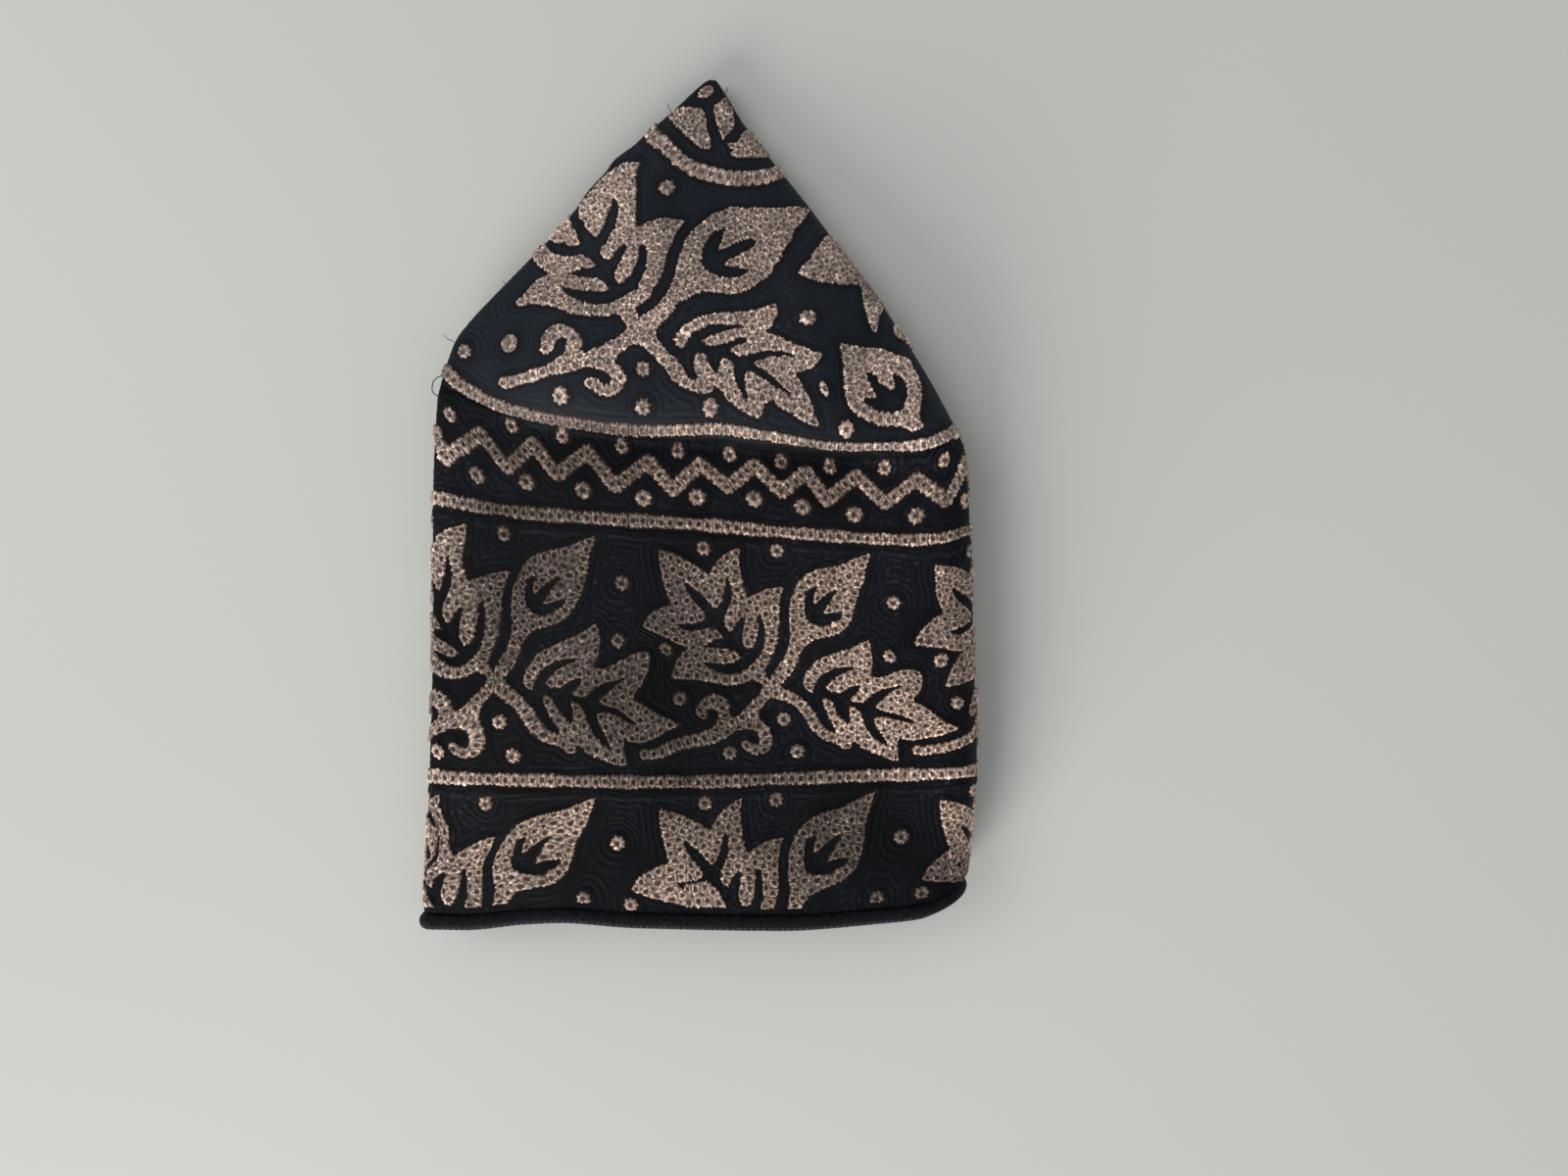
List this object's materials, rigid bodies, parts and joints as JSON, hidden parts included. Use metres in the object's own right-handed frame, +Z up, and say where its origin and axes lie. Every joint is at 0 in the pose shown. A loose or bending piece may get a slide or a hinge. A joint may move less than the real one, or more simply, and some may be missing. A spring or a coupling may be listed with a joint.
{
  "type": "omani kuma cap",
  "caption": "Embroidered brimless kuma cap folded flat in quarters, with a pointed crown, a straight side band and a rolled edge round its open mouth.",
  "frame": {"origin": "bottom centre of the folded cap, on the plane it lies on", "axes": "+X to the thick outer fold, +Y to the crown's tip, +Z up"},
  "size_m": [0.1434, 0.22, 0.0273],
  "materials": {
    "dark_cloth": "satin",
    "hem_cloth": "matte"
  },
  "bodies": {
    "root": {"crown": "dark_cloth", "side_band": "dark_cloth", "hem": "hem_cloth"}
  },
  "joints": []
}
